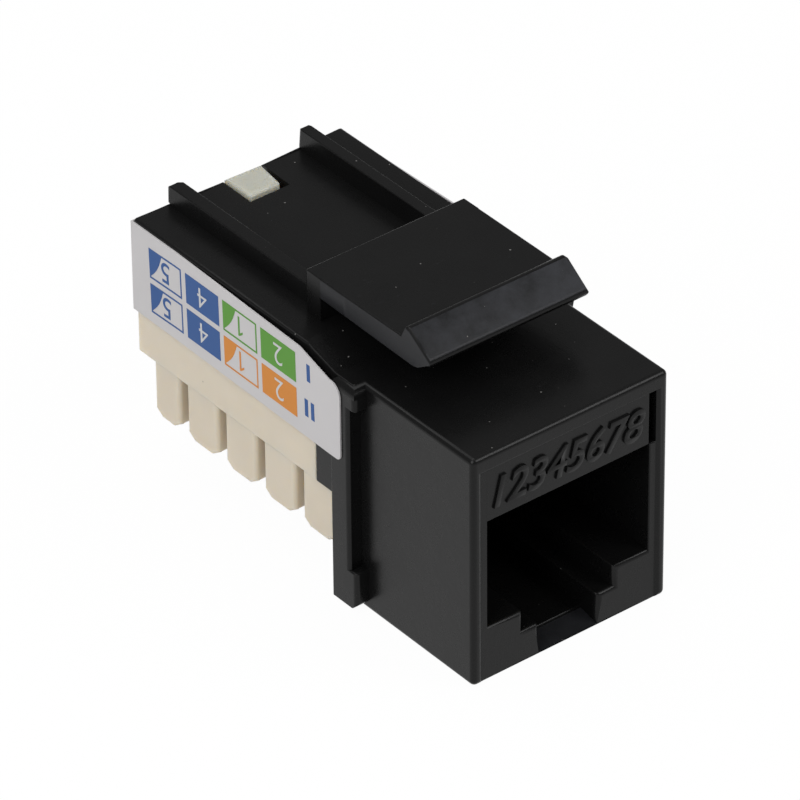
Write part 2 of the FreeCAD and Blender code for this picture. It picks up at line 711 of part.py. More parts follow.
snap_side = sketch_on(idc_block, "snap_side", "YZ_Plane")
SNAP_FRONT = "size.rear_reach - size.notch_deep + size.snap_gap"
SNAP_TOP = f"{SHELF} + size.snap_drop"
outline(snap_side, [
    (SNAP_FRONT, down(BLOCK_ROOF)),
    (BLOCK_REAR, down(f"{BLOCK_ROOF} + 1")),
    (BLOCK_REAR, down(f"{SNAP_TOP} + size.snap_round")),
    (f"{BLOCK_REAR} - size.snap_round", down(SNAP_TOP)),
    (SNAP_FRONT, down(SNAP_TOP)),
])
pad(idc_block, "snap", snap_side, "size.notch_wide - 2 * size.snap_side_gap", side="Symmetric")

post_side = sketch_on(idc_block, "post_side", "YZ_Plane")
POST_HALF = f"({SHELL_HALF} - size.post_inset)"
outline(post_side, [
    (POST_FIRST, down("size.block_foot_drop")),
    (POST_FIRST, down(f"{POST_FOOT} - size.post_bevel_rise")),
    (f"{POST_FIRST} + size.post_bevel_run", down(POST_FOOT)),
    (f"{POST_FIRST} + size.post_run - size.post_bevel_run", down(POST_FOOT)),
    (f"{POST_FIRST} + size.post_run", down(f"{POST_FOOT} - size.post_bevel_rise")),
    (f"{POST_FIRST} + size.post_run", down("size.block_foot_drop")),
])
post = pad(idc_block, "post", post_side, f"2 * {POST_HALF}", side="Symmetric")
row_of(idc_block, "posts", post, "Y_Axis", POST_SPAN, POSTS)

trim_side = sketch_on(idc_block, "trim_side", "YZ_Plane")
REAR_POST_END = "size.rear_reach - size.post_last_gap - size.rear_post_trim"
outline(trim_side, [
    (REAR_POST_END, down("size.block_foot_drop")),
    (REAR_POST_END, down(f"{POST_FOOT} - size.post_bevel_rise")),
    (f"{REAR_POST_END} - size.post_bevel_run", down(POST_FOOT)),
    (f"{REAR_POST_END} - size.post_bevel_run", down(f"{POST_FOOT} + 1")),
    (f"{BLOCK_REAR} + 1", down(f"{POST_FOOT} + 1")),
    (f"{BLOCK_REAR} + 1", down("size.block_foot_drop")),
])
pocket(idc_block, "rear_post_end", trim_side, f"4 * {SHELL_HALF}", side="Symmetric")

channel_end = sketch_on(idc_block, "channel_end", "XZ_Plane", f"-{BLOCK_REAR}")
rectangle(
    channel_end, "-size.channel_wide / 2", "size.channel_wide / 2",
    up("0"), down("size.block_foot_drop - size.channel_over"))
pocket(idc_block, "channel", channel_end, "size.rear_reach", reverse=True)

well_plan = sketch_on(idc_block, "well_plan", "XY_Plane", down("size.block_top_drop"))
WELL_MIDDLE = f"{BOARD_FRONT} + (size.tail_near_in + size.tail_far_in) / 2"
rectangle(
    well_plan, "-size.well_wide / 2", "size.well_wide / 2",
    f"{WELL_MIDDLE} - size.well_run / 2", f"{WELL_MIDDLE} + size.well_run / 2")
well = pocket(idc_block, "tail_well", well_plan, "size.well_deep")

half_post = half_shell - size["post_inset"]
foot_z = middle_up - size["block_foot_drop"]
round_edges(
    idc_block, "post_rounds", well,
    lambda a, b: near(abs(a.x), half_post) and near(a.x, b.x) and min(a.z, b.z) < foot_z - 0.5,
    "size.post_round")

BLADE_FOOT = f"{POST_FOOT} - size.blade_inset"
SHOULDER = f"{BLADE_FOOT} - size.blade_tall"
for name, half, top in (
        ("blade_pocket", "size.blade_wide / 2", f"{SHOULDER} - size.blade_slack"),
        ("neck_hole", "size.neck_wide / 2", "size.block_top_drop - 1")):
    cut_plan = sketch_on(idc_block, f"{name}_plan", "XY_Plane", down(f"{POST_FOOT} + 1"))
    for sign in ("-", ""):
        rectangle(
            cut_plan,
            f"{sign}({BLADE_AT} - size.blade_thick / 2 - size.blade_slack)",
            f"{sign}({BLADE_AT} + size.blade_thick / 2 + size.blade_slack)",
            f"{SLOT_FIRST} - {half} - size.blade_slack",
            f"{SLOT_FIRST} + {half} + size.blade_slack")
    cut = pocket(idc_block, name, cut_plan, f"{POST_FOOT} + 1 - ({top})", reverse=True)
    row_of(idc_block, f"{name}s", cut, "Y_Axis", f"{SLOTS - 1} * {POST_PITCH}", SLOTS)


def idc_terminal(number):
    """A flat fork that bites the wire, with a neck through the block and a pin in the board."""
    terminal = new_body(f"idc_terminal_{number}")
    side = sketch_on(terminal, "fork_side", "YZ_Plane")
    right = [
        ("size.pin_wide / 2", down(f"{BOARD_TOP} - size.pin_above")),
        ("size.pin_wide / 2", down("size.block_top_drop")),
        ("size.neck_wide / 2", down("size.block_top_drop")),
        ("size.neck_wide / 2", down(SHOULDER)),
        ("size.blade_wide / 2", down(SHOULDER)),
        ("size.blade_wide / 2", down(BLADE_FOOT)),
        ("size.blade_slit / 2 + size.blade_flare", down(BLADE_FOOT)),
        ("size.blade_slit / 2", down(f"{BLADE_FOOT} - 2 * size.blade_flare")),
        ("size.blade_slit / 2", down(f"{BLADE_FOOT} - size.blade_slit_tall")),
    ]
    left = [(f"-({across})", height) for across, height in reversed(right)]
    outline(side, right + left)
    pad(terminal, "fork", side, "size.blade_thick", side="Symmetric")
    row, slot = divmod(number - 1, SLOTS)
    sign = ("-", "")[row]
    terminal.setExpression("Placement.Base.x", f"{sign}{BLADE_AT}")
    terminal.setExpression("Placement.Base.y", f"{SLOT_FIRST} + {slot} * {POST_PITCH}")
    return terminal


terminals = [idc_terminal(number) for number in range(1, WAYS + 1)]


label_middle = middle_up - size["seam_drop"] / 2


def side_label(name, sign):
    """A thin label on one side of the shell, lapped on to the flange and round the rear corner."""
    label = new_body(name)
    plan = sketch_on(label, "label_plan", "XY_Plane", down("size.seam_drop + size.label_lap"))
    joggle = f"{FLANGE_BACK} + size.label_joggle"
    outside = [
        (f"{SHELL_HALF} - size.label_wrap", "size.rear_reach + size.label_thick"),
        (f"{SHELL_HALF} + size.label_thick", "size.rear_reach + size.label_thick"),
        (f"{SHELL_HALF} + size.label_thick", joggle),
        (f"{FLANGE_HALF} + size.label_thick", FLANGE_BACK),
        (f"{FLANGE_HALF} + size.label_thick", "size.label_front"),
    ]
    inside = [
        (FLANGE_HALF, "size.label_front"),
        (FLANGE_HALF, FLANGE_BACK),
        (SHELL_HALF, joggle),
        (SHELL_HALF, "size.rear_reach"),
        (f"{SHELL_HALF} - size.label_wrap", "size.rear_reach"),
    ]
    outline(plan, [(f"{sign}({across})", depth) for across, depth in outside + inside])
    pad(label, "sheet", plan, f"size.seam_drop + size.label_lap - ({SHELF} + size.label_drop)")
    corner = sketch_on(label, "corner_side", "YZ_Plane")
    outline(corner, [
        (f"{FLANGE_BACK} + size.ramp_run", down(f"{SHELF} + size.label_drop")),
        (FLANGE_BACK, down("size.label_drop")),
        ("size.label_front - 1", down("size.label_drop")),
        ("size.label_front - 1", down(f"{SHELF} - 1")),
        (f"{FLANGE_BACK} + size.ramp_run", down(f"{SHELF} - 1")),
    ])
    cut = pocket(label, "ramp_cut", corner, f"4 * {SHELL_HALF}", side="Symmetric")

    def at_front(a, b):
        return near(a.y, size["label_front"]) and near(b.y, size["label_front"]) and near(a.z, b.z)

    top = round_edges(
        label, "top_round", cut, lambda a, b: at_front(a, b) and a.z > label_middle, "size.label_round")
    round_edges(
        label, "foot_round", top, lambda a, b: at_front(a, b) and a.z < label_middle,
        "size.label_foot_round")
    return label


labels = [side_label("label_left", "-"), side_label("label_right", "")]

NODES = [
    housing, latch_arm, contact_insert, *leads, *arms, circuit_board, idc_block, *terminals, *labels]

doc.recompute()
for item in doc.Objects:
    faults = {"Invalid", "Error"} & set(item.State)
    if faults:
        raise RuntimeError(f"{item.Name} is in state {sorted(faults)}")
for node in NODES:
    if node.Shape.isNull() or not node.Shape.isValid():
        raise RuntimeError(f"{node.Label} has no valid shape")

os.makedirs("parts", exist_ok=True)
for node in NODES:
    node.Shape.exportStep(f"parts/{node.Label}.step")
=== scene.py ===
import math

import bmesh
import bpy
from mathutils import Matrix, Vector


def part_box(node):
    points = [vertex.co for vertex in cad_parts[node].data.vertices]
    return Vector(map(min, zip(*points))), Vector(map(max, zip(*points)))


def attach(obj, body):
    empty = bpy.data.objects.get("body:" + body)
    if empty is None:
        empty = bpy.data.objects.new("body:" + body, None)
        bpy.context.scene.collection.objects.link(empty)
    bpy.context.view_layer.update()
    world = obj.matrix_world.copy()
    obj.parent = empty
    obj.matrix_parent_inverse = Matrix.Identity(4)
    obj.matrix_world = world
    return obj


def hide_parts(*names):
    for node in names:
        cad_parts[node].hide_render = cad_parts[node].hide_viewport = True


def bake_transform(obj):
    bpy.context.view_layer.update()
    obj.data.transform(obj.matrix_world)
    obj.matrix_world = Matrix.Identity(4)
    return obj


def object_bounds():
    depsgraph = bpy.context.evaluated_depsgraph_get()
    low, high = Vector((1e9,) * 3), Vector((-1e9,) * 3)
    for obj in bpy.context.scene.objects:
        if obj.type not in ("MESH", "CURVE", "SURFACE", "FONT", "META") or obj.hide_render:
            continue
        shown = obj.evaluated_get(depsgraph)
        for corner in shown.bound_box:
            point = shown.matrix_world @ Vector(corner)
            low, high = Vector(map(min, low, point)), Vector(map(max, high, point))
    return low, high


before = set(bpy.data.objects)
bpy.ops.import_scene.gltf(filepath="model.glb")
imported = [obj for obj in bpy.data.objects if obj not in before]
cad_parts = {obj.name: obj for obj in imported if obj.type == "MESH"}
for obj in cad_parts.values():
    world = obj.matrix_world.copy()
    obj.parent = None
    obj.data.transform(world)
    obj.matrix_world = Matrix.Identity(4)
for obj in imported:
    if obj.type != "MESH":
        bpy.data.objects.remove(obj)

cad_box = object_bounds()

# ---- Housing -------------------------------------------------------------------------------
# The housing is one injection moulding in glossy black plastic: front body, shoulder flange, rear
# shell, rails and latch root. Its edges leave the tool slightly rounded, its skin keeps the faint
# grain of the mould, and it picks up dust and fine rub marks; the tab slot's sloped mouth carries
# a painted sheen in lighter grey.

MM = 0.001


class Field:
    """A value that varies from place to place: sums and products of fields add Math nodes."""

    def __init__(self, tree, socket):
        self.tree = tree
        self.socket = socket

    def maths(self, how, first, second=0.0):
        return self.tree.add("ShaderNodeMath", {"operation": how}, {0: first, 1: second})

    def __add__(self, other):
        return self.maths("ADD", self, other)

    def __radd__(self, other):
        return self.maths("ADD", other, self)

    def __sub__(self, other):
        return self.maths("SUBTRACT", self, other)

    def __rsub__(self, other):
        return self.maths("SUBTRACT", other, self)

    def __mul__(self, other):
        return self.maths("MULTIPLY", self, other)

    def __rmul__(self, other):
        return self.maths("MULTIPLY", other, self)

    def __lt__(self, other):
        return self.maths("LESS_THAN", self, other)

    def __gt__(self, other):
        return self.maths("GREATER_THAN", self, other)

    def at_least(self, other):
        return self.maths("MAXIMUM", self, other)

    def at_most(self, other):
        return self.maths("MINIMUM", self, other)


class Tree:
    """A node tree whose every node comes from one method."""

    def __init__(self, tree):
        self.tree = tree

    def add(self, kind, settings, inputs, output=0):
        """One node: its settings first, then its sockets by name or number."""
        node = self.tree.nodes.new(kind)
        for key, value in settings.items():
            setattr(node, key, value)
        for key, value in inputs.items():
            if isinstance(value, Field):
                self.tree.links.new(value.socket, node.inputs[key])
            else:
                node.inputs[key].default_value = value
        return Field(self, node.outputs[output]) if node.outputs else None


class Finish(Tree):
    """A material under construction around one Principled shader."""

    def __init__(self, name, **constants):
        self.material = bpy.data.materials.new(name)
        self.material.use_nodes = True
        super().__init__(self.material.node_tree)
        self.shader = self.tree.nodes["Principled BSDF"]
        for socket, value in constants.items():
            self.shader.inputs[socket.replace("_", " ")].default_value = value
        self.place = self.add("ShaderNodeTexCoord", {}, {}, "Object")

    def feed(self, socket, value):
        self.tree.links.new(value.socket, self.shader.inputs[socket])

    def along(self, axis):
        return self.add("ShaderNodeSeparateXYZ", {}, {"Vector": self.place}, axis)

    def facing(self, direction):
        """How nearly the surface faces that way, from -1 to 1."""
        normal = self.add("ShaderNodeTexCoord", {}, {}, "Normal")
        return self.add("ShaderNodeVectorMath", {"operation": "DOT_PRODUCT"}, {
            0: normal, 1: direction}, "Value")

    def noise(self, grain, detail=2.0, roughness=0.5, stretch=(1, 1, 1)):
        """Noise whose patches are about grain metres wide."""
        place = self.add("ShaderNodeMapping", {}, {"Vector": self.place, "Scale": stretch})
        return self.add("ShaderNodeTexNoise", {}, {
            "Vector": place, "Scale": 1 / grain, "Detail": detail, "Roughness": roughness})

    def specks(self, spacing, radius, share):
        """One where a dust speck lies: random cells hold a dot, and the others stay clean."""
        cell = {"Vector": self.place, "Scale": 1 / spacing}
        distance = self.add("ShaderNodeTexVoronoi", {}, cell, "Distance")
        draw = self.add("ShaderNodeTexVoronoi", {}, cell, "Color")
        chance = self.add("ShaderNodeSeparateColor", {}, {"Color": draw}, "Red")
        breadth = self.add("ShaderNodeSeparateColor", {}, {"Color": draw}, "Green")
        return (distance < (breadth * 0.7 + 0.3) * (radius / spacing)) * (chance < share)

    def blend(self, amount, one, other):
        """The colour one where amount is 0, and other where it is 1."""
        return self.add("ShaderNodeMix", {"data_type": "RGBA"}, {
            "Factor": amount, 6: one, 7: other}, 2)

    def bump(self, height, depth):
        self.feed("Normal", self.add("ShaderNodeBump", {}, {
            "Height": height, "Distance": depth}, "Normal"))


def ramp(value, low, high):
    """From 0 at low to 1 at high."""
    return ((value - low) * (1 / (high - low))).at_least(0.0).at_most(1.0)


DEEP_BLACK = (0.0037, 0.0037, 0.0038, 1)
SOFT_BLACK = (0.0058, 0.0058, 0.0058, 1)
WORN_AND_SHEEN_GREY = (0.026, 0.027, 0.031, 1)
DUST_GREY = (0.16, 0.155, 0.15, 1)
GLOSS_ROUGHNESS = 0.22


def black_plastic(name, wear_and_sheen=None):
    """Glossy black plastic, with grey patches of wear and of painted sheen where marks say so."""
    finish = Finish(name, IOR=1.5, Specular_IOR_Level=0.18)
    cloud = finish.noise(grain=2.5 * MM, detail=3.0)
    colour = finish.blend(cloud, DEEP_BLACK, SOFT_BLACK)
    lying = finish.facing((0, 0, 1)) > 0.5
    dust = finish.specks(spacing=0.8 * MM, radius=0.055 * MM, share=lying * 0.45 + 0.08)
    lint = finish.specks(spacing=2.1 * MM, radius=0.1 * MM, share=lying * 0.6)
    rubs = finish.noise(grain=0.5 * MM, detail=3.0, roughness=0.6, stretch=(0.25, 1, 1)) > 0.7
    grain = finish.noise(grain=0.09 * MM)
    smear = finish.noise(grain=1.1 * MM, detail=4.0, roughness=0.6)
    rough = smear * 0.12 + rubs * 0.08 + GLOSS_ROUGHNESS
    relief = grain
    if wear_and_sheen:
        patches, parting = wear_and_sheen(finish)
        # Grey patches: real wear in some places, painted sheen in others.
        colour = finish.blend(patches, colour, WORN_AND_SHEEN_GREY)
        rough = rough + patches * 0.22 + parting * 0.4
        relief = grain + finish.noise(
            grain=0.3 * MM, detail=4.0, roughness=0.7, stretch=(1, 0.35, 0.35)) * 2.5
    specks = dust.at_least(lint)
    finish.feed("Base Color", finish.blend(specks, colour, DUST_GREY))
    finish.feed("Roughness", rough + specks * 0.3)
    finish.bump(relief, depth=0.003 * MM)
    return finish.material


def merged(node):
    """The node's solid as one closed mesh with flat faces, to work on."""
    mesh = bmesh.new()
    mesh.from_mesh(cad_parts[node].data)
    bmesh.ops.remove_doubles(mesh, verts=mesh.verts, dist=0.002 * MM)
    bmesh.ops.dissolve_limit(
        mesh, angle_limit=math.radians(0.5), verts=mesh.verts, edges=mesh.edges)
    return mesh


def put_away(mesh, name):
    """A working mesh as mesh data of that name."""
    data = bpy.data.meshes.new(name)
    mesh.to_mesh(data)
    mesh.free()
    return data


def taken_up(data):
    """Mesh data as a working mesh again."""
    mesh = bmesh.new()
    mesh.from_mesh(data)
    bpy.data.meshes.remove(data)
    return mesh


def plain_mesh(holder):
    """The plain mesh that an object's curve or modifiers give, without the object."""
    bpy.context.scene.collection.objects.link(holder)
    made = bpy.data.meshes.new_from_object(
        holder.evaluated_get(bpy.context.evaluated_depsgraph_get()))
    bpy.data.objects.remove(holder)
    return made


def modified(mesh, kind, **settings):
    """The mesh as it is after a modifier with these settings."""
    data = put_away(mesh, "working")
    holder = bpy.data.objects.new("working", data)
    modifier = holder.modifiers.new(kind, kind)
    for key, value in settings.items():
        setattr(modifier, key, value)
    made = plain_mesh(holder)
    bpy.data.meshes.remove(data)
    return made


def shifted(mesh, move, chosen):
    """Move the chosen corners by this many millimetres."""
    for vertex in mesh.verts:
        if chosen(vertex.co / MM):
            vertex.co += Vector(move) * MM


WIDEST_ROUND = 0.5 * MM
ROUNDED_FROM = math.radians(40)


def soften(mesh, *rules):
    """Round the outer edges as the tool leaves them, each by the first rule that fits it.

    A rule is a width in millimetres and a test of the edge's two ends. An edge that is too short
    for its round stays sharp.
    """
    weight = mesh.edges.layers.float.new("bevel_weight_edge")
    for edge in mesh.edges:
        if len(edge.link_faces) != 2 or not edge.is_convex:
            continue
        if edge.calc_face_angle() < ROUNDED_FROM:
            continue
        ends = [vertex.co / MM for vertex in edge.verts]
        for width, chosen in rules:
            if chosen(*ends):
                if edge.calc_length() > 2.2 * width * MM:
                    edge[weight] = width * MM / WIDEST_ROUND
                break
    return taken_up(modified(
        mesh, "BEVEL", width=WIDEST_ROUND, segments=3, limit_method="WEIGHT",
        use_clamp_overlap=False))


SHARP_FROM = math.radians(38)


def shaded(mesh):
    """The mesh with smooth rounds between flat faces."""
    for face in mesh.faces:
        face.smooth = True
    for edge in mesh.edges:
        edge.smooth = len(edge.link_faces) == 2 and edge.calc_face_angle() < SHARP_FROM
    return modified(mesh, "WEIGHTED_NORMAL", keep_sharp=True, weight=100)


def piece(name, data, materials, body, stands_for=()):
    """A finished mesh as a piece that rides on its body and stands for its nodes."""
    for material in materials:
        data.materials.append(material)
    made = bpy.data.objects.new(name, data)
    data.name = name
    bpy.context.scene.collection.objects.link(made)
    if body:
        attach(made, body)
    if stands_for:
        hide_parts(*stands_for)
    return made


def near(value, target, within=0.1):
    return abs(value - target) < within


def both_near(one, other, target):
    return near(one, target, 0.02) and near(other, target, 0.02)


def any_edge(a, b):
    """The rule for the edges that no other rule has taken."""
    return True


# Where the housing's faces lie, in millimetres.
flex_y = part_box("latch_arm")[1].y / MM
body_low, body_high = (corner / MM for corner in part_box("housing"))
front_y = body_low.y
bezel_y = front_y + 0.2
flange_x = body_high.x
root_rear_y = flex_y + 1.4
FRAME_SIDE = 6.5
PORT_SIDE = 6.05
PLATE_FOOT = 3.2
SLOT_SIDE, SLOT_FLOOR = 2.2, -7.6
STEP_SIDE = 3.4
SHELF = 8.75
RAIL_INNER, RAIL_OUTER = 4.5, 5.3
NOTCH_SIDE, NOTCH_FRONT = 1.5, 18.4


def latch_seam(a, b):
    """The root's front face, where the latch goes on."""
    return both_near(a.y, b.y, flex_y) and max(a.z, b.z) > SHELF + 0.75


def inner_frame(a, b):
    """The inner edge of the frame that stands round the port's face."""
    return both_near(a.y, b.y, front_y) and max(abs(a.x), abs(b.x)) < FRAME_SIDE + 0.25


def root_rear(a, b):
    """The rear edges of the latch's root."""
    return near(a.y, root_rear_y) and near(b.y, root_rear_y) and max(a.z, b.z) > SHELF + 1.25


def shell_rear(a, b):
    """The upper rear edges, which run across."""
    level = near(a.z, b.z, 0.02) and near(a.y, b.y, 0.02)
    return level and min(a.y, b.y) > body_high.y - 0.1 and a.z > SHELF + 0.25


def port_left(a, b):
    """The port's left front edge, which is sharp."""
    return both_near(a.x, b.x, -PORT_SIDE) and both_near(a.y, b.y, bezel_y)


def step_riser(a, b):
    """The upright edges of the port's right-hand steps."""
    upright = abs(a.z - b.z) > 0.4
    return both_near(a.y, b.y, bezel_y) and upright and SLOT_SIDE - 0.1 < a.x < STEP_SIDE + 0.1


def port_rim(a, b):
    """The port's other front edges, below the plate."""
    aside, upward = max(abs(a.x), abs(b.x)), max(a.z, b.z)
    return both_near(a.y, b.y, bezel_y) and aside < PORT_SIDE + 0.1 and upward < PLATE_FOOT - 0.1


def slot_mouth(a, b):
    """The front edge of the tab slot's floor, which runs out sharp at the underside."""
    aside = max(abs(a.x), abs(b.x))
    return both_near(a.y, b.y, bezel_y) and aside < SLOT_SIDE + 0.1 and max(a.z, b.z) < SLOT_FLOOR


def shoulder(a, b):
    """The upright front edges of the flange, its head and its foot."""
    upright = near(a.x, b.x, 0.02) and abs(a.z - b.z) > 0.8
    return upright and near(abs(a.x), flange_x, 0.12) and max(a.y, b.y) < 0.1


def slot_lip(at):
    return near(at.y, bezel_y) and near(abs(at.x), SLOT_SIDE) and near(at.z, SLOT_FLOOR)


def on_rail(at, inner, outer):
    return inner - 0.1 < at.x < outer + 0.1 and at.z > SHELF + 0.05 and at.y > flex_y - 0.1


def on_notch_wall(at, side):
    return near(at.x, side) and at.y > NOTCH_FRONT - 0.4


def between_rails(at):
    level = SHELF - 0.35 < at.z < SHELF + 0.05
    return level and abs(at.x) < RAIL_INNER + 0.2 and at.y > flex_y - 0.1


# As moulded, the slot's floor slopes down to its mouth, the rails and the notch stand a touch to
# the right, and the notch and the shelf between the rails are a touch deeper.
housing = merged("housing")
shifted(housing, (0, 0, -0.32), slot_lip)
shifted(housing, (0.14, 0, 0), lambda at: on_rail(at, -RAIL_OUTER, -RAIL_OUTER))
shifted(housing, (0.28, 0, 0), lambda at: on_rail(at, -RAIL_INNER, -RAIL_INNER))
shifted(housing, (0.1, 0, 0), lambda at: on_rail(at, RAIL_INNER, RAIL_OUTER))
shifted(housing, (0, -0.3, 0), lambda at: near(at.y, NOTCH_FRONT) and abs(at.x) < NOTCH_SIDE + 0.1)
shifted(housing, (0.3, 0, 0), lambda at: on_notch_wall(at, -NOTCH_SIDE))
shifted(housing, (0.22, 0, 0), lambda at: on_notch_wall(at, NOTCH_SIDE))
shifted(housing, (0, 0, -0.17), between_rails)


def chamfer_frame(mesh):
    """Slant the frame's inner side walls outwards, from the port's face to the frame's edge."""
    walls = [
        face for face in mesh.faces
        if all(near(abs(vertex.co.x / MM), FRAME_SIDE, 0.02) for vertex in face.verts)]
    bmesh.ops.bisect_plane(
        mesh, geom=walls + [edge for face in walls for edge in face.edges],
        plane_co=(0, bezel_y * MM, 0), plane_no=(0, 1, 0))
    for vertex in mesh.verts:
        ahead = bezel_y * MM - vertex.co.y
        if ahead > 0 and near(abs(vertex.co.x / MM), FRAME_SIDE, 0.02):
            vertex.co.x += math.copysign(ahead, vertex.co.x)


chamfer_frame(housing)
housing = soften(
    housing, (0, latch_seam), (0, port_left), (0, slot_mouth), (0.16, root_rear),
    (0.4, step_riser), (0.27, port_rim), (0.12, inner_frame), (0.2, shell_rear), (0.3, shoulder),
    (0.08, any_edge))


def slot_sheen(finish):
    """The sloped mouth of the tab slot, painted lighter grey as sheen, and no parting line."""
    depth = 1 - ramp(finish.along("Z"), (SLOT_FLOOR - 0.02) * MM, (SLOT_FLOOR + 0.08) * MM)
    # Painted sheen: the upward sloped mouth of the slot is painted lighter grey for the light it
    # catches.
    mouth = depth * ramp(finish.facing((0, 0, 1)), 0.8, 0.9)
    return mouth * (finish.noise(grain=0.6 * MM, detail=3.0) * 0.3 + 0.3), 0.0


piece(
    "housing_moulding", shaded(housing), [black_plastic("black_plastic_rubbed", slot_sheen)],
    "jack_body", ["housing"])

# ---- Latch ---------------------------------------------------------------------------------
# The latch is a springy plate of the same moulding: it grows out of its root behind, and ends in
# a ridge whose front slope is rubbed grey by the panels it has snapped behind. The real latch
# bends just ahead of the root, where its mesh is cut across in slices.

RIDGE_REAR, RIDGE_FRONT = -2.35, -2.8
RIDGE_SLOPE_FACES = (0, -0.6, 0.8)
PARTING_FACES = (-0.77, -0.38, 0.51)


def worn_and_sheen_latch(finish):
    """Wear on the ridge's slope, painted sheen on the sides, scuffs, and the dull parting line."""
    ahead = finish.facing(RIDGE_SLOPE_FACES)
    slope = ramp(ahead, 0.9, 0.96) * (finish.along("Y") < (RIDGE_FRONT + 0.05) * MM)
    patches = finish.noise(grain=1.6 * MM, detail=5.0, roughness=0.65)
    patches = patches + finish.along("X") * (0.02 / MM)
    rubbed = slope * ramp(patches, 0.2, 0.7)
    # Painted sheen: the side faces are painted lighter grey for the reflection they show.
    across = finish.facing((1, 0, 0))
    sides = ramp(across * across, 0.75, 0.95) * 0.45
    scratches = finish.noise(grain=0.5 * MM, detail=5.0, roughness=0.75, stretch=(0.6, 1, 1))
    scuffs = ramp(scratches, 0.62, 0.75) * 0.3
    parting = ramp(finish.facing(PARTING_FACES), 0.88, 0.94)
    return rubbed.at_least(sides).at_least(scuffs) * (1 - parting), parting


latch_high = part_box("latch_arm")[1]
latch_side = latch_high.x / MM
BEND_RUN = 2.4 * MM
BEND_CUTS = 8


def root_seam(a, b):
    """The plate's rear edges, where it grows out of the root."""
    return both_near(a.y, b.y, flex_y)


def plate_side(a, b):
    return both_near(abs(a.x), abs(b.x), latch_side)


def ridge_side(a, b):
    """The side edges of the ridge and the nose."""
    return plate_side(a, b) and min(a.y, b.y) < RIDGE_REAR + 0.15


def cut_through(mesh, place, facing):
    """Cut every face at a plane, and keep both sides."""
    bmesh.ops.bisect_plane(
        mesh, geom=mesh.verts[:] + mesh.edges[:] + mesh.faces[:],
        plane_co=place, plane_no=facing)


latch = soften(
    merged("latch_arm"), (0, root_seam), (0.2, ridge_side), (0.1, plate_side), (0.12, any_edge))
for cut in range(1, BEND_CUTS + 1):
    cut_through(latch, (0, latch_high.y - BEND_RUN * cut / BEND_CUTS, 0), (0, 1, 0))
latch_plate = piece(
    "latch_plate", shaded(latch), [black_plastic("black_plastic_worn", worn_and_sheen_latch)],
    None, ["latch_arm"])
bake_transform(latch_plate)

# ---- Contact insert ------------------------------------------------------------------------
# A second black moulding slides in from behind. Its front plate closes the opening above the port
# and carries the eight pin numbers in raised slanted figures; the wires lie on its beam.

BLACK = black_plastic("black_plastic")
insert_low, insert_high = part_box("contact_insert")
plate_left = insert_low.x / MM
PLATE_REAR = -8.8


def on_plate_left(at):
    return near(at.x, plate_left) and at.y < PLATE_REAR


def out_of_sight(a, b):
    """The edges behind the plate and those of its left side, which stay sharp."""
    return max(a.y, b.y) > PLATE_REAR + 0.1 or max(a.x, b.x) < plate_left + 0.1


insert = merged("contact_insert")
shifted(insert, (-0.045, 0, 0), on_plate_left)
insert = soften(insert, (0, out_of_sight), (0.06, any_edge))
piece("contact_carrier", shaded(insert), [BLACK], "jack_body", ["contact_insert"])

FONT_SIZE_OF_FIGURE = 1.42


def figures(text, height, thickness, weight=0.0, slant=0.0, spacing=1.0, edge=0.0):
    """Flat figures as a closed mesh, centred, lying in X and Y and thickened along Z."""
    curve = bpy.data.curves.new("figures", "FONT")
    curve.body = text
    curve.size = height * FONT_SIZE_OF_FIGURE
    curve.align_x = "CENTER"
    curve.shear = slant
    curve.offset = weight
    curve.space_character = spacing
    curve.extrude = thickness / 2 - edge
    curve.bevel_depth = edge
    curve.bevel_resolution = 1
    curve.resolution_u = 6
    mesh = taken_up(plain_mesh(bpy.data.objects.new("figures", curve)))
    bmesh.ops.remove_doubles(mesh, verts=mesh.verts, dist=0.0005 * MM)
    across = [vertex.co.x for vertex in mesh.verts]
    upward = [vertex.co.y for vertex in mesh.verts]
    middle = Vector((max(across) + min(across), max(upward) + min(upward), 0)) / 2
    bmesh.ops.translate(mesh, verts=mesh.verts, vec=-middle)
    return mesh


FIGURE_TALL = 2.05 * MM
FIGURE_PROUD = 0.14 * MM
PLATE_TALL = 3.65 * MM
numbers = figures(
    "12345678", FIGURE_TALL, FIGURE_PROUD * 2, weight=0.02 * MM, slant=0.25, spacing=0.98,
    edge=0.03 * MM)
numbers.transform(Matrix((
    (1, 0, 0, 0), (0, 0, -1, insert_low.y), (0, 1, 0, insert_high.z - PLATE_TALL / 2),
    (0, 0, 0, 1))))
piece("pin_numbers", shaded(numbers), [BLACK], "jack_body")

# ---- Contact wires -------------------------------------------------------------------------
# Eight round gold-plated spring wires. Each comes up out of the board, runs forward in its groove
# and round the beam's nose, and slopes back into the port as the free arm that a plug lifts.


def gold():
    """Gold plate: its tone shifts a little along the wire, over fine drawing marks."""
    finish = Finish("gold_wire", Metallic=1.0)
    tone = finish.noise(grain=0.4 * MM)
    finish.feed("Base Color", finish.blend(tone, (0.83, 0.6, 0.22, 1), (0.95, 0.72, 0.32, 1)))
    finish.feed("Roughness", finish.noise(grain=0.2 * MM) * 0.15 + 0.2)
    finish.bump(finish.noise(grain=0.05 * MM), depth=0.001 * MM)
    return finish.material


GOLD = gold()


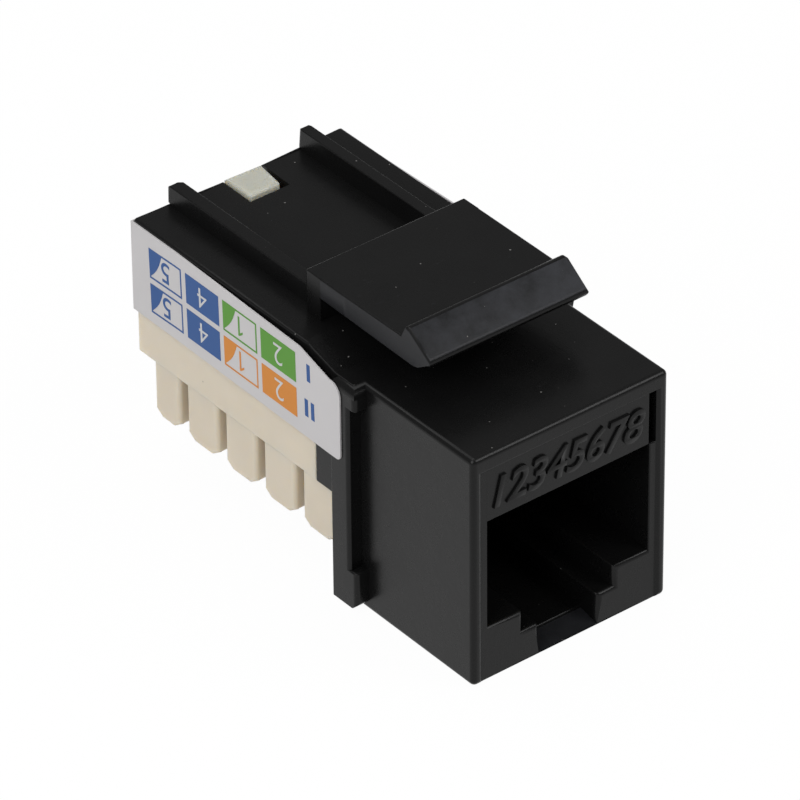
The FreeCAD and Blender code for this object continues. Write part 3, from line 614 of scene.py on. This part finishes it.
class Growth(Tree):
    """A Geometry Nodes tree under construction, with named inputs."""

    def __init__(self, name, **inputs):
        super().__init__(bpy.data.node_groups.new(name, "GeometryNodeTree"))
        sockets = self.tree.interface
        sockets.new_socket("Geometry", in_out="OUTPUT", socket_type="NodeSocketGeometry")
        sockets.new_socket("Geometry", in_out="INPUT", socket_type="NodeSocketGeometry")
        for label, kind in inputs.items():
            sockets.new_socket(label, in_out="INPUT", socket_type=f"NodeSocket{kind}")

    def given(self, label):
        return self.add("NodeGroupInput", {}, {}, label)

    def ends_in(self, geometry):
        """Close the tree: real copies in their material, not instances."""
        real = self.add("GeometryNodeRealizeInstances", {}, {"Geometry": geometry})
        dressed = self.add("GeometryNodeSetMaterial", {}, {
            "Geometry": real, "Material": self.given("Material")})
        self.add("NodeGroupOutput", {}, {"Geometry": dressed})

    def grown(self, seed_mesh, **values):
        """The working mesh that the tree makes of a seed mesh."""
        holder = bpy.data.objects.new("seed", seed_mesh)
        modifier = holder.modifiers.new("growth", "NODES")
        modifier.node_group = self.tree
        for item in self.tree.interface.items_tree:
            if item.in_out == "INPUT" and item.name in values:
                modifier[item.identifier] = values[item.name]
        return taken_up(plain_mesh(holder))


BEND_SEGMENTS = 10
WIRE_SEGMENTS = 14


def bent_wires():
    """A row of equal wires along X that follow one route with filleted corners."""
    tree = Growth(
        "bent_wires", Radius="Float", First="Vector", Pitch="Vector", Count="Int",
        Material="Material")
    route = tree.add("GeometryNodeMeshToCurve", {}, {"Mesh": tree.given("Geometry")})
    bend = tree.add("GeometryNodeInputNamedAttribute", {"data_type": "FLOAT"}, {"Name": "bend"})
    filleted = tree.add("GeometryNodeFilletCurve", {"mode": "POLY"}, {
        "Curve": route, "Radius": bend, "Count": BEND_SEGMENTS, "Limit Radius": True})
    section = tree.add("GeometryNodeCurvePrimitiveCircle", {}, {
        "Resolution": WIRE_SEGMENTS, "Radius": tree.given("Radius")})
    wire = tree.add("GeometryNodeCurveToMesh", {}, {
        "Curve": filleted, "Profile Curve": section, "Fill Caps": True})
    row = tree.add("GeometryNodeMeshLine", {}, {
        "Count": tree.given("Count"), "Start Location": tree.given("First"),
        "Offset": tree.given("Pitch")})
    tree.ends_in(tree.add("GeometryNodeInstanceOnPoints", {}, {"Points": row, "Instance": wire}))
    return tree


WIRES = bent_wires()
WIRE_RADIUS = 0.175 * MM
WIRE_PITCH = 1.02 * MM
NOSE_BEND = 0.7 * MM
NOSE_BEND_THAT_FITS = NOSE_BEND * 0.998
TAIL_BEND = 0.5 * MM
TIP_BEND = 1.0 * MM
ARM_SLOPE = math.radians(22.7)


def wire_row(corners, first, count, pitch):
    """A row of wires through these corners, each a place along Y and Z and its bend."""
    data = bpy.data.meshes.new("route")
    data.from_pydata(
        [(0, y, z) for y, z, bend in corners],
        [(k, k + 1) for k in range(len(corners) - 1)], [])
    data.attributes.new("bend", "FLOAT", "POINT").data.foreach_set(
        "value", [bend for y, z, bend in corners])
    return WIRES.grown(
        data, Radius=WIRE_RADIUS, First=(first, 0, 0), Pitch=(pitch, 0, 0), Count=count,
        Material=GOLD)


def joined(*meshes):
    """Several working meshes as one."""
    whole = bmesh.new()
    for mesh in meshes:
        data = put_away(mesh, "part")
        whole.from_mesh(data)
        bpy.data.meshes.remove(data)
    return whole


lead_low, lead_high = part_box("contact_lead_1")
lead_z = lead_high.z - WIRE_RADIUS
nose_y = lead_low.y + WIRE_RADIUS + NOSE_BEND
nose_reach = NOSE_BEND * math.tan((math.pi - ARM_SLOPE) / 2)
arm_y = nose_y - NOSE_BEND * math.sin(ARM_SLOPE)
arm_z = lead_z - NOSE_BEND * (1 + math.cos(ARM_SLOPE))
rows = []
for number in (1, 2):
    low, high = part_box(f"contact_lead_{number}")
    rows.append(wire_row(
        [(high.y - WIRE_RADIUS, low.z, 0), (high.y - WIRE_RADIUS, lead_z, TAIL_BEND),
         (nose_y - nose_reach, lead_z, NOSE_BEND_THAT_FITS), (arm_y, arm_z, 0)],
        (low.x + high.x) / 2, 4, 2 * WIRE_PITCH))
piece(
    "contact_leads", shaded(joined(*rows)), [GOLD], "jack_body",
    [f"contact_lead_{number}" for number in range(1, 9)])

arm_low, arm_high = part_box("contact_1")
toe_z = arm_low.z + WIRE_RADIUS
arms = wire_row(
    [(arm_y, arm_z, 0), (arm_y + (arm_z - toe_z) / math.tan(ARM_SLOPE), toe_z, TIP_BEND),
     (arm_high.y, toe_z, 0)], (arm_low.x + arm_high.x) / 2, 8, WIRE_PITCH)
piece(
    "contact_arms", shaded(arms), [GOLD], "contacts",
    [f"contact_{number}" for number in range(1, 9)])

# ---- Circuit board -------------------------------------------------------------------------
# A green glass-epoxy board with plated holes lies on the punch-down block, out of sight under the
# shell, and joins each wire to its terminal.


def board_mask():
    """Green lacquer over the glass weave."""
    finish = Finish("board_mask", Coat_Weight=0.4)
    weave = finish.noise(grain=0.3 * MM)
    finish.feed("Base Color", finish.blend(weave, (0.02, 0.14, 0.06, 1), (0.03, 0.2, 0.08, 1)))
    finish.feed("Roughness", weave * 0.2 + 0.3)
    return finish.material


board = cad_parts["circuit_board"]
board.data.materials.clear()
board.data.materials.append(board_mask())

# ---- Terminals -----------------------------------------------------------------------------
# Eight tin-plated forks stamped from spring strip stand between the posts. Each is pressed up
# through the block, and its pin is soldered in the board.


def tin():
    """Dull tin plate with a fine grain."""
    finish = Finish("tinned_terminal", Metallic=1.0)
    tone = finish.noise(grain=0.5 * MM, detail=3.0)
    finish.feed("Base Color", finish.blend(tone, (0.62, 0.62, 0.6, 1), (0.78, 0.78, 0.77, 1)))
    finish.feed("Roughness", tone * 0.2 + 0.28)
    finish.bump(finish.noise(grain=0.08 * MM), depth=0.002 * MM)
    return finish.material


def terminal_rows():
    """Two rows of copies of the seed mesh, on a grid round Middle."""
    tree = Growth(
        "terminal_rows", Apart="Float", Run="Float", Middle="Vector", Slots="Int",
        Material="Material")
    grid = tree.add("GeometryNodeMeshGrid", {}, {
        "Size X": tree.given("Apart"), "Size Y": tree.given("Run"),
        "Vertices X": 2, "Vertices Y": tree.given("Slots")})
    placed = tree.add("GeometryNodeTransform", {}, {
        "Geometry": grid, "Translation": tree.given("Middle")})
    tree.ends_in(tree.add("GeometryNodeInstanceOnPoints", {}, {
        "Points": placed, "Instance": tree.given("Geometry")}))
    return tree


def middle_of(node):
    low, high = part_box(node)
    return (low + high) / 2


first_middle, last_middle = middle_of("idc_terminal_1"), middle_of("idc_terminal_8")
span = last_middle - first_middle
fork = soften(merged("idc_terminal_1"), (0.03, any_edge))
bmesh.ops.translate(fork, verts=fork.verts, vec=(-first_middle.x, -first_middle.y, 0))
TIN = tin()
forks = terminal_rows().grown(
    put_away(fork, "fork"), Apart=span.x, Run=span.y,
    Middle=(0, (first_middle.y + last_middle.y) / 2, 0), Slots=4, Material=TIN)
piece(
    "terminals", shaded(forks), [TIN], "jack_body",
    [f"idc_terminal_{number}" for number in range(1, 9)])

# ---- Punch-down block ----------------------------------------------------------------------
# The block is a pale cream moulding, semi-gloss and slightly translucent, that snaps up into the
# shell from below. Cable cores are pressed between its posts on to the terminals.

CREAM, PALE_CREAM = (0.575, 0.51, 0.41, 1), (0.65, 0.58, 0.475, 1)
SNAP_GREY_CREAM = (0.44, 0.44, 0.385, 1)
BROWN_DUST = (0.3, 0.26, 0.2, 1)
SNAP_FROM = 8.0


def cream_plastic():
    """Cream plastic with a few specks of dust, greyer where the snap stands out in the notch."""
    finish = Finish("cream_plastic", IOR=1.5, Subsurface_Weight=0.8, Subsurface_Scale=1.5 * MM)
    finish.shader.inputs["Subsurface Radius"].default_value = (1.0, 0.85, 0.6)
    cloud = finish.noise(grain=3.0 * MM, detail=3.0)
    colour = finish.blend(cloud, CREAM, PALE_CREAM)
    dust = finish.specks(spacing=1.6 * MM, radius=0.05 * MM, share=0.2)
    snap = finish.along("Z") > SNAP_FROM * MM
    # The snap above SNAP_FROM is a greyer cream.
    colour = finish.blend(snap, colour, SNAP_GREY_CREAM)
    finish.feed("Base Color", finish.blend(dust, colour, BROWN_DUST))
    finish.feed("Roughness", finish.noise(grain=0.8 * MM, detail=3.0) * 0.15 + 0.42)
    finish.bump(finish.noise(grain=0.12 * MM), depth=0.004 * MM)
    return finish.material


# Where the block's faces lie, in millimetres.
block_low, block_high = (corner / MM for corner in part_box("idc_block"))
BAND_FOOT = -0.4
BAND_DROP = 0.33
BASE_SIDE = 6.95
SNAP_SIDE, SNAP_FOOT, SNAP_TOP = 1.35, 7.1, 8.7
SNAP_FRONT, BACK_WALL = 18.5, 19.9


def under_band(at):
    return near(at.z, BAND_FOOT, 0.02) and abs(at.x) > BASE_SIDE - 0.05


def on_snap(at, side):
    return near(at.x, side * SNAP_SIDE, 0.15) and at.z > SNAP_FOOT - 0.1


def snap_rear(at):
    return at.z > SNAP_FROM and at.y > BACK_WALL + 0.1


def snap_front(at):
    return near(at.y, SNAP_FRONT) and (on_snap(at, -1) or on_snap(at, 1))


# As moulded, the band's foot lies right on the posts, and the snap stands a touch higher, fills
# the notch from front to rear, and is a little askew on the right.
SNAP_RISE = 0.15
block = merged("idc_block")
shifted(block, (0, 0, -BAND_DROP), under_band)
shifted(block, (0, 0, SNAP_RISE), lambda at: at.z > SNAP_FROM)
shifted(block, (0, 0.1, 0), snap_rear)
shifted(block, (0, 0.1, 0), lambda at: snap_rear(at) and near(at.z, SNAP_TOP + SNAP_RISE))
shifted(block, (0, -0.3, 0), snap_front)
shifted(block, (0.22, 0, 0), lambda at: on_snap(at, -1))
shifted(block, (-0.2, 0, 0), lambda at: on_snap(at, 1) and at.y < BACK_WALL - 0.1)
shifted(block, (0.16, -0.1, 0), lambda at: on_snap(at, 1) and at.y > BACK_WALL + 0.1)


def post_tip(a, b):
    return max(a.z, b.z) < block_low.z + 0.6


def snap_edge(a, b):
    return max(a.z, b.z) > SNAP_FROM


def band_edge(a, b):
    """The band's lower outer edges, which run out softly on to the posts."""
    low = both_near(a.z, b.z, BAND_FOOT - BAND_DROP)
    return low and both_near(abs(a.x), abs(b.x), block_high.x)


block = soften(block, (0.22, post_tip), (0.2, snap_edge), (0.18, band_edge), (0.12, any_edge))
piece(
    "punch_down_block", shaded(block), [cream_plastic()], "jack_body",
    ["idc_block"])

# ---- Labels --------------------------------------------------------------------------------
# White self-adhesive film on both sides of the shell, lapped on to the flange and round the rear
# corner. It is printed with the order of the cores: coloured fields for plain cores and cornered
# fields for striped ones, read with the jack upside down.

SHADED_WHITE, FILM_WHITE = (0.465, 0.453, 0.458, 1), (0.5, 0.487, 0.492, 1)
FILM_THROUGH_INK = 0.03


def label_film():
    """White film with a faint cloud and the fine grain of its backing."""
    finish = Finish("label_film", IOR=1.45, Specular_IOR_Level=0.25)
    cloud = finish.noise(grain=4.0 * MM)
    finish.feed("Base Color", finish.blend(cloud, SHADED_WHITE, FILM_WHITE))
    finish.feed("Roughness", finish.noise(grain=0.6 * MM) * 0.1 + 0.35)
    finish.bump(finish.noise(grain=0.15 * MM), depth=0.002 * MM)
    return finish.material


def ink(name, colour):
    """Printing ink: a little of the film shows through it in patches."""
    finish = Finish(name, IOR=1.45, Specular_IOR_Level=0.25)
    patches = finish.noise(grain=0.5 * MM, detail=4.0, roughness=0.6)
    thin = tuple((1 - FILM_THROUGH_INK) * part + FILM_THROUGH_INK * 0.5 for part in colour)
    finish.feed("Base Color", finish.blend(patches, (*colour, 1), (*thin, 1)))
    finish.feed("Roughness", patches * 0.1 + 0.36)
    return finish.material


FLANGE_BACK = 1.65
film_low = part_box("label_left")[0]


def lower_front(at):
    """The film's lower edge on the flange, which was stuck on a touch higher than the rest."""
    return at.y < FLANGE_BACK + 0.35 and at.z < film_low.z / MM + 0.73


FILM = label_film()
left_film = merged("label_left")
shifted(left_film, (0, 0, 0.28), lower_front)
piece("film_left", shaded(left_film), [FILM], "jack_body", ["label_left"])
right_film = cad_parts["label_right"].data
right_film.materials.clear()
right_film.materials.append(FILM)

INKS = [
    ink("ink_blue", (0.006, 0.062, 0.225)), ink("ink_green", (0.066, 0.235, 0.012)),
    ink("ink_orange", (0.53, 0.185, 0.012)), ink("ink_brown", (0.17, 0.065, 0.015)),
    ink("ink_white", (0.5, 0.5, 0.505))]
BLUE, GREEN, ORANGE, BROWN, WHITE = range(5)
INK_PROUD = 0.012 * MM
FLAT_FROM = 16.65 * MM
FILM_FLARE = 0.4 * MM
film_face = -film_low.x - FILM_FLARE


def film_x(y):
    """How far out the film's face lies: flat behind, and flaring on to the flange in front."""
    flare = min(max((FLAT_FROM - y) / (FLAT_FROM - FLANGE_BACK * MM), 0), 1)
    return film_face + FILM_FLARE * flare


def area(points, colour):
    """A printed area as a slab one coat of ink thick, from its outline along Y and Z."""
    following = points[1:] + points[:1]
    if sum(y * after_z - after_y * z for (y, z), (after_y, after_z) in zip(points, following)) < 0:
        points = points[::-1]
    mesh = bmesh.new()
    under = [mesh.verts.new((y * MM, z * MM, 0)) for y, z in points]
    over = [mesh.verts.new((y * MM, z * MM, INK_PROUD)) for y, z in points]
    mesh.faces.new(under[::-1])
    mesh.faces.new(over)
    for corner in range(len(points)):
        mesh.faces.new((under[corner - 1], under[corner], over[corner], over[corner - 1]))
    for face in mesh.faces:
        face.material_index = colour
    return mesh


def box_area(middle, low, high, wide, colour):
    return area([
        (middle - wide / 2, low), (middle + wide / 2, low),
        (middle + wide / 2, high), (middle - wide / 2, high)], colour)


LINE = 0.12
CORNER_WIDE, CORNER_TALL = 0.35, 0.86
CORNER_BULGE = 0.12
CORNER_STEPS = 6


def striped_field(middle, wide, low, high, colour):
    """A white field with a thin coloured border and a coloured corner at its rear top."""
    rear, front = middle + wide / 2, middle - wide / 2
    inner, top = rear - LINE, high - LINE
    run, drop = wide * CORNER_WIDE, (high - low) * CORNER_TALL
    corner = [(inner, top), (inner - run, top)]
    for step in range(1, CORNER_STEPS):
        share = step / CORNER_STEPS
        bulge = CORNER_BULGE * math.sin(math.pi * share)
        corner.append((inner - run * (1 - share) - bulge, top - drop * share - bulge))
    corner.append((inner, top - drop))
    return [
        area(corner, colour), box_area(middle, low, low + LINE, wide, colour),
        box_area(middle, high - LINE, high, wide, colour),
        box_area(rear - LINE / 2, low + LINE, high - LINE, LINE, colour),
        box_area(front + LINE / 2, low + LINE, high - LINE, LINE, colour)]


DIGIT_TALL = 1.43 * MM
WHITE_SPREAD, COLOUR_SPREAD = -0.014 * MM, 0.006 * MM
# The figure one has a flag and no foot: half its height is 0.67 mm.
FLAGGED_ONE = (
    (0, -0.67), (0.16, -0.67), (0.16, 0.67), (0.04, 0.67), (-0.28, 0.42), (-0.28, 0.26), (0, 0.46))


def digit(text, middle, centre, colour, coats, sign):
    """One figure, upside down on the film, on top of so many coats of ink."""
    if text == "1":
        mesh = area(FLAGGED_ONE, colour)
        bmesh.ops.translate(mesh, verts=mesh.verts, vec=(0, 0, -INK_PROUD / 2))
    else:
        spread = WHITE_SPREAD if colour == WHITE else COLOUR_SPREAD
        mesh = figures(text, DIGIT_TALL, INK_PROUD, weight=spread)
    for vertex in mesh.verts:
        x, y, z = vertex.co
        vertex.co = (middle * MM - sign * x, centre * MM - y, z + INK_PROUD * (coats + 0.5))
    for face in mesh.faces:
        face.material_index = colour
    if sign < 0:
        bmesh.ops.reverse_faces(mesh, faces=mesh.faces)
    return mesh


# Each column's middle and width, each row's foot and top, and those of the marks in front.
COLUMNS = ((17.64, 3.15), (13.98, 3.3), (10.25, 3.35), (6.47, 3.4))
ROWS = ((5.63, 7.72), (3.2, 5.24))
MARKS = ((6.28, 7.48), (3.75, 4.95))
MARK_AT, MARK_PITCH, MARK_WIDE = 3.53, 0.6, 0.32
PRINT_MIDDLE = (12 * MM, 5.4 * MM, 0)
PRINT_TURN = math.radians(1.6)


def printed(side, sign, turn, columns):
    """The print of one label: each column has its figure, and its upper and lower colour.

    It is laid out flat along Y and Z, turned a little as it was stuck on, creased where the film
    starts to flare, and then set on the film's face.
    """
    areas = []
    over = []
    for (middle, wide), (text, striped, colours) in zip(COLUMNS, columns):
        for (low, high), colour in zip(ROWS, colours):
            if striped:
                areas += striped_field(middle, wide, low, high, colour)
            else:
                areas.append(box_area(middle, low, high, wide, colour))
            over.append(digit(
                text, middle, (low + high) / 2, colour if striped else WHITE,
                0 if striped else 1, sign))
    for bars, (low, high) in enumerate(MARKS, 1):
        for bar in range(bars):
            areas.append(box_area(
                MARK_AT + (bar - (bars - 1) / 2) * MARK_PITCH, low, high, MARK_WIDE, BLUE))
    mesh = joined(*areas, *over)
    bmesh.ops.rotate(
        mesh, verts=mesh.verts, cent=PRINT_MIDDLE, matrix=Matrix.Rotation(turn, 3, "Z"))
    cut_through(mesh, (FLAT_FROM, 0, 0), (1, 0, 0))
    for vertex in mesh.verts:
        y, z, rise = vertex.co
        vertex.co = (sign * (film_x(y) + rise), y, z)
    if sign < 0:
        bmesh.ops.reverse_faces(mesh, faces=mesh.faces)
    piece(f"label_print_{side}", put_away(mesh, "print"), INKS, "jack_body")


printed("left", -1, -PRINT_TURN, [
    ("5", True, (BLUE, BLUE)), ("4", False, (BLUE, BLUE)),
    ("1", True, (GREEN, ORANGE)), ("2", False, (GREEN, ORANGE))])
printed("right", 1, 0, [
    ("8", False, (BROWN, BROWN)), ("7", True, (BROWN, BROWN)),
    ("6", False, (ORANGE, GREEN)), ("3", True, (ORANGE, GREEN))])

# ---- Studio --------------------------------------------------------------------------------
# The jack stands on its own body and posts on a white sweep, under three soft lamps. What the
# black plastic mirrors is the bright floor below it and the dim room above.

scene = bpy.context.scene
PAPER_GLOW = 0.97


def studio_floor():
    """White paper that the camera and the gloss see as white, with the object's shadow kept."""
    material = bpy.data.materials.new("studio_floor")
    material.use_nodes = True
    tree = Tree(material.node_tree)
    tree.tree.nodes.clear()
    seen = [
        tree.add("ShaderNodeLightPath", {}, {}, ray)
        for ray in ("Is Camera Ray", "Is Glossy Ray", "Is Transmission Ray")]
    share = seen[0].at_least(seen[1]).at_least(seen[2]) * PAPER_GLOW
    paper = tree.add("ShaderNodeBsdfDiffuse", {}, {"Color": (0.9, 0.9, 0.9, 1)})
    glow = tree.add("ShaderNodeEmission", {}, {"Color": (1, 1, 1, 1), "Strength": 1.0})
    mixed = tree.add("ShaderNodeMixShader", {}, {0: share, 1: paper, 2: glow})
    tree.add("ShaderNodeOutputMaterial", {}, {"Surface": mixed})
    return material


FLOOR_HALF = 1.5
floor_mesh = bpy.data.meshes.new("studio_floor")
floor_mesh.from_pydata([
    (x * FLOOR_HALF, y * FLOOR_HALF, cad_box[0].z)
    for x, y in ((-1, -1), (1, -1), (1, 1), (-1, 1))], [], [(0, 1, 2, 3)])
floor_mesh.materials.append(studio_floor())
floor = bpy.data.objects.new("studio_floor", floor_mesh)
scene.collection.objects.link(floor)

ROOM_GLOW = 0.3
world = bpy.data.worlds.new("studio_room")
scene.world = world
world.use_nodes = True
room = Tree(world.node_tree)
room.tree.nodes.clear()
backdrop = room.add("ShaderNodeLightPath", {}, {}, "Is Camera Ray") * (1 - ROOM_GLOW) + ROOM_GLOW
air = room.add("ShaderNodeBackground", {}, {"Color": (1, 1, 1, 1), "Strength": backdrop})
room.add("ShaderNodeOutputWorld", {}, {"Surface": air})


def outward(azimuth, elevation):
    """The direction from the jack towards that side, where azimuth 0 is the front."""
    turn, rise = math.radians(azimuth), math.radians(elevation)
    return Vector((
        math.sin(turn) * math.cos(rise), -math.cos(turn) * math.cos(rise), math.sin(rise)))


def softbox(name, azimuth, elevation, distance, width, power):
    """A square soft lamp of that power in watts, which looks at the jack from that side."""
    light = bpy.data.lights.new(name, "AREA")
    light.shape = "SQUARE"
    light.size = width
    light.energy = power
    lamp = bpy.data.objects.new(name, light)
    scene.collection.objects.link(lamp)
    away = outward(azimuth, elevation)
    lamp.location = away * distance
    lamp.rotation_euler = away.to_track_quat("Z", "Y").to_euler()


softbox("left_softbox", azimuth=-75, elevation=40, distance=0.45, width=0.3, power=1.2)
softbox("right_softbox", azimuth=39, elevation=41, distance=0.5, width=0.22, power=0.8)
softbox("top_softbox", azimuth=180, elevation=75, distance=0.5, width=0.35, power=0.8)

# The camera stands in front on the left and looks down at the jack's middle through a long lens,
# held a touch aside and not quite level.
CAMERA_AZIMUTH, CAMERA_ELEVATION = -38.31, 35.15
CAMERA_ROLL = math.radians(-0.53)
CAMERA_AWAY, CAMERA_ASIDE, CAMERA_UP = 432.7, -1.08, 1.11
JACK_MIDDLE = Vector((0, 3.8, 0.1)) * MM
back = outward(CAMERA_AZIMUTH, CAMERA_ELEVATION)
level = Vector((-back.y, back.x, 0)).normalized()
upright = back.cross(level)
right = level * math.cos(CAMERA_ROLL) + upright * math.sin(CAMERA_ROLL)
upward = upright * math.cos(CAMERA_ROLL) - level * math.sin(CAMERA_ROLL)
eye = JACK_MIDDLE + (back * CAMERA_AWAY + right * CAMERA_ASIDE + upward * CAMERA_UP) * MM
camera = bpy.data.objects.new("camera", bpy.data.cameras.new("camera"))
camera.data.sensor_width = 36
camera.data.lens = 331.9
camera.data.clip_start = 0.02
camera.data.clip_end = 5
camera.matrix_world = Matrix((
    (right.x, upward.x, back.x, eye.x), (right.y, upward.y, back.y, eye.y),
    (right.z, upward.z, back.z, eye.z), (0, 0, 0, 1)))
scene.collection.objects.link(camera)
scene.camera = camera
scene.view_settings.view_transform = "Standard"
